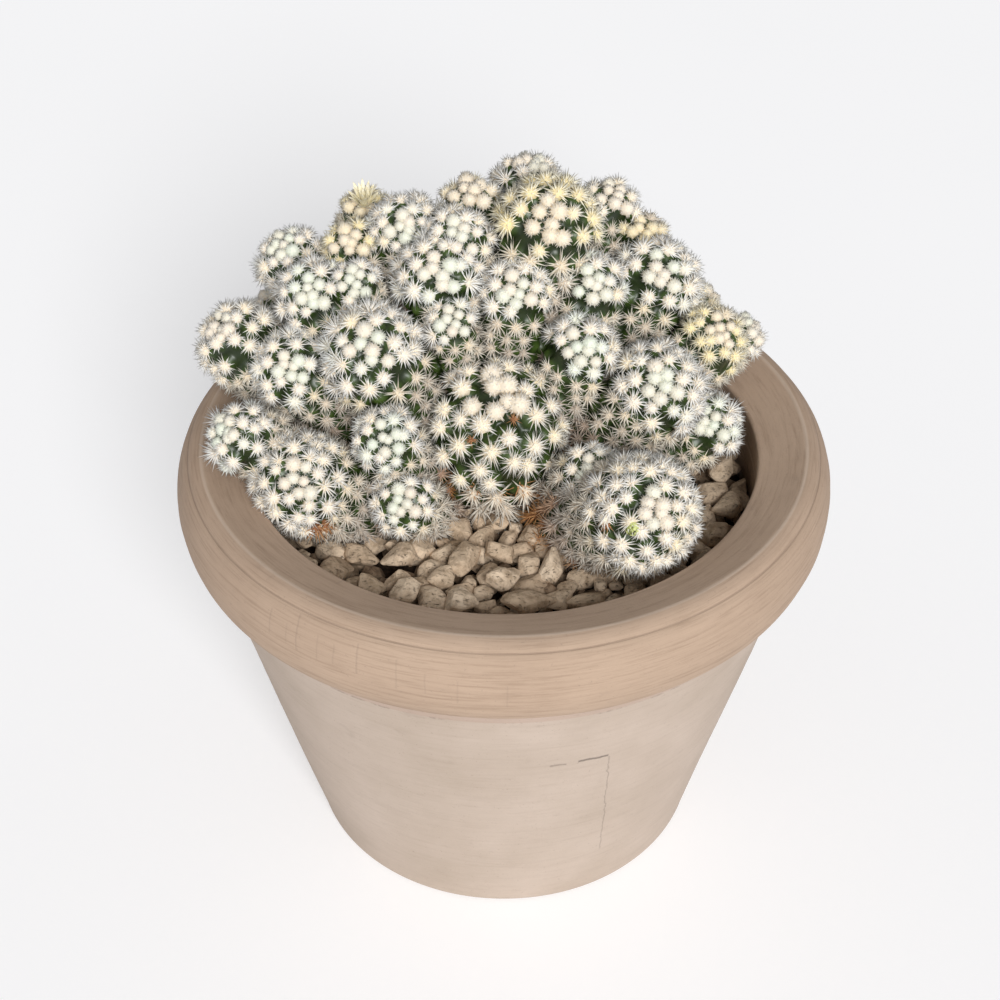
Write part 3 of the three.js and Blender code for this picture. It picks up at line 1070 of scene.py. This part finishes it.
def tuft_on(head, wart):
    """The kind, size and tone of the tuft that stands on a wart."""
    rng = head.rng
    scale = head.spacing / USUAL_SPACING * rng.uniform(0.84, 1.12)
    tone = head.tone + rng.uniform(-0.05, 0.05)
    if wart.tip.z < GRAVEL_TOP + 3 * MM:
        return "old", scale, BEIGE + 0.36 * math.sqrt(rng.random())
    if wart.age > OLD_AGE:
        return "old", scale, max(tone, 0.5) + 0.16 * (wart.age - 2.3) + rng.uniform(0, 0.1)
    if wart.growth < CROWN_GROWTH:
        return "crown", scale * (0.7 + 0.4 * wart.growth), tone * 0.5
    if wart.growth < YOUNG_GROWTH:
        return "young", scale, tone * 0.8
    if head.spacing > BIG_SPACING:
        return "big", rng.uniform(0.85, 1.08), tone
    if rng.random() < 0.08:
        return "star", scale, tone
    return "full", scale, tone + (0.1 if rng.random() < 0.15 else 0)


def standing(place, out, scale, rng):
    """The matrix that stands a tuft on a place, turned by chance."""
    spin = Matrix.Rotation(rng.uniform(0, math.tau), 3, "Z")
    turn = out.to_track_quat("Z", "Y").to_matrix() @ spin
    return Matrix.Translation(place) @ (turn * scale).to_4x4()


def set_out_tufts(head, warts, tufts):
    """Each tuft that shows, the matrix that puts it on its wart, and its tone."""
    for wart in warts:
        ahead = wart.tip + wart.out * CROWDED
        crowded = wart.age > OLD_AGE and inside_another(head, ahead, 0)
        if not crowded and not inside_another(head, wart.tip, 1.5 * MM):
            kind, scale, tone = tuft_on(head, wart)
            out = (wart.out + UP * 0.12).normalized()
            place = wart.tip - wart.out * 0.3 * MM
            yield head.rng.choice(tufts[kind]), standing(place, out, scale, head.rng), tone
    for right, up, scale in REMNANTS.get(head.name, []):
        towards = math.sqrt(max(0, 1 - right**2 - up**2))
        out = RIGHT * right + FRONT.cross(RIGHT) * up + FRONT * towards
        place = head.centre + out * (head.radius + 0.5 * MM)
        yield head.rng.choice(tufts["remnant"]), standing(place, out, scale, head.rng), DEAD - 0.02


def make_head(head, tufts, materials):
    """A head with its stem, warts and tufts as one piece. The tone goes on the map's first number."""
    warts = [*ball_warts(head), *stem_warts(head)]
    skin = make_skin(head, warts)
    parts, tones = [skin], [0.0]
    for kind, matrix, tone in set_out_tufts(head, warts, tufts):
        placed = kind.copy()
        placed.transform(matrix)
        parts.append(placed)
        tones.append(min(max(tone, 0.005), 0.97))
    faces = [len(part.polygons) for part in parts]
    corners = [len(part.loops) for part in parts]
    piece = joined(head.name.replace("head", "stem"), parts, materials)
    mesh = piece.data
    mesh.polygons.foreach_set("material_index", np.repeat([0] + [1] * (len(faces) - 1), faces))
    uv = mesh.uv_layers[MAP].uv
    values = np.empty(len(mesh.loops) * 2, dtype=np.float32)
    uv.foreach_get("vector", values)
    values[0::2] += np.repeat(tones, corners)
    uv.foreach_set("vector", values)
    rides(piece, "cactus", head.name)


def make_heads():
    materials = [cactus_skin(), spine_and_wool()]
    tufts = make_tufts()
    for head in PLACED:
        make_head(head, tufts, materials)


# ---------------------------------------------------------------- flower and bud

# The numbers of the heads that carry the flower and the bud, and how far each leans away from the
# line of its head's stem.
FLOWER_HEAD, BUD_HEAD = 8, 31
FLOWER_LEAN = Vector((0.35, -0.9, 0.1))
BUD_LEAN = Vector((-0.75, -0.5, -0.1))


def petal(length, width, lean, curl):
    """A pointed petal on the origin that leans out from Z and curls as it rises.

    Length and width are in millimetres, lean and curl in radians.
    """
    bm = bmesh.new()
    bmesh.ops.create_grid(bm, x_segments=4, y_segments=8, size=1)
    for vert in bm.verts:
        across, along = vert.co.x, (vert.co.y + 1) / 2
        half = width / 2 * max(0.04, math.sin(math.pi * (0.14 + 0.86 * along))) ** 0.7
        angle = lean + curl * along
        out = length * (math.cos(lean) - math.cos(angle)) / curl - 0.3 * half * across**2
        up = length * (math.sin(angle) - math.sin(lean)) / curl
        vert.co = Vector((across * half, out, up)) * MM
    bmesh.ops.solidify(bm, geom=bm.faces[:], thickness=0.22 * MM)
    bmesh.ops.recalc_face_normals(bm, faces=bm.faces)
    return as_mesh("petal", bm)


def whorls(head, lean, rings, rng):
    """Rings of petals round the line of a flower.

    A ring is how many, how far their feet are from the line, length, width, lean and curl.
    """
    axis = (head.stem + lean).normalized()
    base = Matrix.Translation(head.centre + axis * head.radius)
    base = base @ axis.to_track_quat("Z", "Y").to_matrix().to_4x4()
    petals = []
    for number, (count, foot, length, width, slant, curl) in enumerate(rings):
        for i in range(count):
            own = petal(length * rng.uniform(0.85, 1.05), width, slant * rng.uniform(0.8, 1.2), curl)
            place = i + number / 2 + rng.uniform(-0.15, 0.15)
            turn = Matrix.Rotation(math.tau * place / count, 4, "Z")
            own.transform(base @ turn @ Matrix.Translation((0, foot * MM, 0)))
            petals.append(own)
    return petals


def petal_paint(name, pale, deep, roughness):
    """Thin, streaked petal between two colours."""
    paint = Paint(name)
    streaks = paint.noise(paint.place(), 1.6, detail=4, roughness=0.6)
    tint = paint.colours(streaks, [(0.3, deep), (0.65, pale)])
    relief = paint.bump(paint.noise(paint.place(), 0.5, detail=3), 0.1, 0.5)
    return paint.set(Base_Color=tint, Roughness=roughness, Specular_IOR_Level=0.3, Normal=relief)


def make_flower():
    """A withered flower: papery petals that stand nearly upright and fray outwards."""
    rng = random.Random(11)
    rings = [
        (9, 1.4, 12, 2.4, 0.30, 0.35),
        (8, 1.0, 12.5, 2.2, 0.16, 0.25),
        (6, 0.5, 11.5, 1.8, 0.06, 0.12),
    ]
    petals = whorls(PLACED[FLOWER_HEAD - 1], FLOWER_LEAN, rings, rng)
    material = petal_paint("papery_petal", (0.95, 0.92, 0.79), (0.86, 0.76, 0.48), 0.7)
    rides(joined("dried_flower_petals", petals, [material]), "dried_petals", "dried_flower")


def make_bud():
    """A closed bud of overlapping scales."""
    rng = random.Random(12)
    rings = [
        (6, 1.5, 6.2, 3.2, 0.75, -1.5),
        (5, 1.1, 6.8, 2.8, 0.5, -1.0),
        (4, 0.6, 7, 2.2, 0.25, -0.6),
    ]
    scales = whorls(PLACED[BUD_HEAD - 1], BUD_LEAN, rings, rng)
    material = petal_paint("bud_scale", (0.72, 0.75, 0.36), (0.48, 0.55, 0.16), 0.5)
    rides(joined("flower_bud_scales", scales, [material]), "bud", "flower_bud")


# ---------------------------------------------------------------- the scene

add_camera()
add_studio()
add_floor()
make_pot()
make_soil()
pumice = pumice_stone()
make_large_stones(pumice)
make_gravel(pumice)
make_heads()
make_flower()
make_bud()

boxes = {"cad": cad_box, "visual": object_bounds()}
{key: [list(corner) for corner in box] for key, box in boxes.items()}
